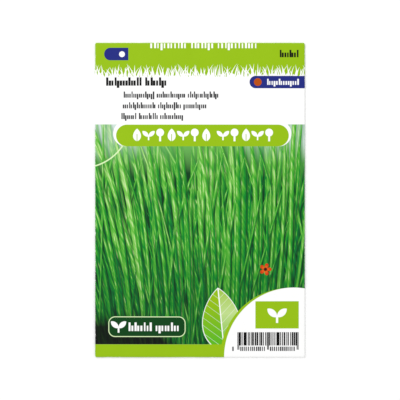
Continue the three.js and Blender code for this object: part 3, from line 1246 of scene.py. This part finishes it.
def seal_ridge(x, y):
    """Height of the ridges in the sealed margin, which run along the sachet's edges."""
    into_margin = max(abs(x) - film_inside.x, abs(y) - film_inside.y)
    return RIDGE_HEIGHT * math.sin(max(0, into_margin) * math.tau / RIDGE_PITCH)


def creases(x, y, layer):
    """Sharp folds in the foil, from -1 to 1, which fade towards the sealed margin."""
    fade = arch(x / film_inside.x, 6) * arch(y / film_inside.y, 6)
    bent = uneven(x / 15, y / 15, layer)
    return fade * (1 - 4 * abs(uneven(x / 9 + bent, y / 13 - bent, layer + 3)))


def lower_film_shape(x, y):
    return lower_film_height + seal_ridge(x, y) + LOWER_CREASES * creases(x, y, 20)


def upper_film_shape(x, y):
    lift = SACHET_LIFT * arch(x / film_inside.x, 3) * arch(y / film_inside.y, 3)
    return upper_film_height + seal_ridge(x, y) + lift * (1 + UPPER_CREASES * creases(x, y, 30))


def foil_piece(name, shape):
    """One film, from a function that gives the height of its middle in millimetres."""
    film = open_grid(name, 2 * film_inside.x, 2 * film_inside.y, FILM_CELL)
    margin = [SEAL_MARGIN / MARGIN_STRIPS] * MARGIN_STRIPS
    for side in (1, -1):
        extend(film, lambda p: side * p.x > film_inside.x - NEAR, margin, (side, 0, 0))
    for side in (1, -1):
        extend(film, lambda p: side * p.y > film_inside.y - NEAR, margin, (0, side, 0))
    bpy.ops.object.mode_set(mode="OBJECT")
    for vertex in film.data.vertices:
        x, y, _ = vertex.co / mm
        vertex.co = Vector((x, y + SACHET_Y, shape(x, y))) * mm
    thicken(film, FILM)
    bpy.ops.object.shade_smooth_by_angle(angle=FILM_SMOOTH_ANGLE)
    return film


lower_film = foil_piece("lower_foil", lower_film_shape)
upper_film = foil_piece("upper_foil", upper_film_shape)
print("films:", len(lower_film.data.polygons), "faces each")

# %% [markdown]
# ## The seeds
#
# A chive seed is flat below, ridged above and pointed at its ends. One is modelled from a sphere, with a
# bisect for its flat side, and then copied. The copies have settled in one layer over an oval patch:
# places are drawn at random, and one that is too near to a seed that lies there already is drawn again.

# %% Model one seed
SEED_LENGTH = 2.6
SEED_WIDTH = 1.8
SEED_DEPTH = 1.2

bpy.ops.mesh.primitive_uv_sphere_add(segments=7, ring_count=6, radius=0.5 * mm)
seed = bpy.context.object
seed.name = "chive_seeds"
open_for_editing(seed)
bpy.ops.mesh.select_all(action="SELECT")
bpy.ops.transform.rotate(value=math.pi / 2, orient_axis="Y", center_override=(0, 0, 0))
bpy.ops.transform.resize(value=(SEED_LENGTH, SEED_WIDTH, SEED_DEPTH * 1.3))
select_where(seed, lambda p: abs(p.x) > 0.3 * SEED_LENGTH)
bpy.ops.transform.resize(value=(1, 0.6, 0.6))
select_where(seed, lambda p: p.z > 0.3 * SEED_DEPTH)
bpy.ops.transform.resize(value=(1, 0.45, 1))
bpy.ops.mesh.select_all(action="SELECT")
bpy.ops.mesh.bisect(
    plane_co=(0, 0, -0.35 * SEED_DEPTH * mm), plane_no=(0, 0, -1), clear_outer=True, use_fill=True
)
bpy.ops.object.mode_set(mode="OBJECT")
seed_foot = min(vertex.co.z for vertex in seed.data.vertices)
print("one seed:", len(seed.data.polygons), "faces,", [round(d / mm, 2) for d in seed.dimensions])

# %% Let the seeds settle
SEED_PATCH = Vector((12, 7.5))
SEED_DISTANCE = 1.7
SEED_TRIES = 1500
SEED_TILT = 0.2
SMALLEST_SEED = 0.85

settle = random.Random(11)
seed_places = []
for _ in range(SEED_TRIES):
    u, v = settle.uniform(-1, 1), settle.uniform(-1, 1)
    place = Vector((u * SEED_PATCH.x, v * SEED_PATCH.y))
    if math.hypot(u, v) < 1 and all((place - other).length > SEED_DISTANCE for other in seed_places):
        seed_places.append(place)

bpy.ops.object.select_all(action="DESELECT")
seed_floor = (lower_film_height + FILM / 2 + SLACK) * mm
for number, place in enumerate(seed_places):
    copy = seed.copy() if number else seed
    if number:
        copy.data = seed.data.copy()
        bpy.context.collection.objects.link(copy)
    size = settle.uniform(SMALLEST_SEED, 1.0)
    tilt = settle.uniform(-SEED_TILT, SEED_TILT)
    turn = settle.uniform(0, math.tau)
    rise = seed_floor - seed_foot * size + abs(tilt) * SEED_WIDTH / 2 * mm
    copy.location = (place.x * mm, (place.y + SEED_PATCH_Y) * mm, rise)
    copy.rotation_euler = (tilt, 0, turn)
    copy.scale = (size, size, size)
    copy.select_set(True)
bpy.context.view_layer.objects.active = seed
bpy.ops.object.join()
bpy.ops.object.transform_apply(location=True, rotation=True, scale=True)
bpy.ops.object.shade_flat()
print("seeds:", len(seed_places))

# %% [markdown]
# ## Finishes of the inner pieces
#
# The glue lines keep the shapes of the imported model. Foil, glue and seed coat each get a material of
# their own: foil is metal with fine creases, glue is a little yellow where it is thick, and seed coats
# are near-black, wrinkled and a little dusty.

# %% Materials of the inner pieces
FOIL_GREY = (0.74, 0.75, 0.76, 1)
GLUE_SHADES = {0.3: (0.84, 0.81, 0.71, 1), 0.7: (0.72, 0.66, 0.48, 1)}
SEED_BLACKS = {0.35: (0.009, 0.008, 0.01, 1), 0.6: (0.03, 0.026, 0.024, 1), 0.8: (0.07, 0.06, 0.05, 1)}


def creased_foil(b):
    fine = abs(b.noise(object_place(b), 240.0, 4.0, 0.6) - 0.5) * 2.0
    normal = bump(b, fine, 0.00006)
    return {"Base Color": FOIL_GREY, "Metallic": 0.9, "Roughness": 0.24 + fine * 0.3, "Normal": normal}


def pale_glue(b):
    thick = b.noise(object_place(b), 260.0)
    normal = bump(b, thick, 0.00006)
    return {"Base Color": b.ramp(thick, GLUE_SHADES), "Roughness": 0.3 + thick * 0.25, "Normal": normal}


def wrinkled_seed_coat(b):
    place = object_place(b)
    normal = bump(b, b.noise(place, 1800.0, 3.0, 0.6), 0.00009)
    dust = b.noise(place, 420.0)
    return {"Base Color": b.ramp(dust, SEED_BLACKS), "Roughness": 0.42 + dust * 0.3, "Normal": normal}


foil = new_material("creased_foil", creased_foil)
for film, node in ((lower_film, "sachet_lower_film"), (upper_film, "sachet_upper_film")):
    film.data.materials.append(foil)
    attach(film, "root")
    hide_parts(node)

seed.data.materials.append(new_material("wrinkled_seed_coat", wrinkled_seed_coat))
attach(seed, "root")
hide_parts("seeds")

glue = new_material("pale_glue", pale_glue)
for node in ("side_seam_glue", "bottom_flap_glue", "closing_flap_glue"):
    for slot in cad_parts[node].material_slots:
        slot.material = glue
print("materials:", sorted(m.name for m in bpy.data.materials))

# %% [markdown]
# ## Floor, light and camera
#
# A pale floor, an evenly white room and one large soft lamp show flat print in its true colours. The
# camera looks straight down through a long lens, so that the packet's edges stay parallel.

# %% Stage
bpy.ops.mesh.primitive_plane_add(size=6)
ground = bpy.context.object
ground.name = "studio_floor"
pale = {"Base Color": (0.975, 0.975, 0.975, 1), "Roughness": 0.9, "Specular IOR Level": 0.0}
ground.data.materials.append(new_material("pale_floor", lambda b: pale))

world = bpy.data.worlds.new("soft white room")
bpy.context.scene.world = world
world.use_nodes = True
world.node_tree.nodes["Background"].inputs["Color"].default_value = (1, 1, 1, 1)
world.node_tree.nodes["Background"].inputs["Strength"].default_value = 0.82

bpy.ops.object.light_add(type="AREA", location=(-0.5, 0.6, 0.9))
key = bpy.context.object
key.name = "key_light"
key.data.energy = 5.4
key.data.size = 0.7
key.rotation_euler = (-key.location).to_track_quat("-Z", "Y").to_euler()

# %% Camera
FRAME_PIXELS = 400
PACKET_PIXELS = 315
LENS = 150
SENSOR = 36
frame_height = PACKET_HEIGHT * FRAME_PIXELS / PACKET_PIXELS * mm
bpy.ops.object.camera_add(location=(0, 0, frame_height * LENS / SENSOR + 2 * mm), rotation=(0, 0, 0))
camera = bpy.context.object
camera.name = "camera"
camera.data.lens = LENS
camera.data.sensor_width = SENSOR
camera.data.clip_start = 0.01
camera.data.clip_end = 20
bpy.context.scene.camera = camera
bpy.context.scene.view_settings.view_transform = "Standard"
bpy.context.scene.view_settings.look = "None"
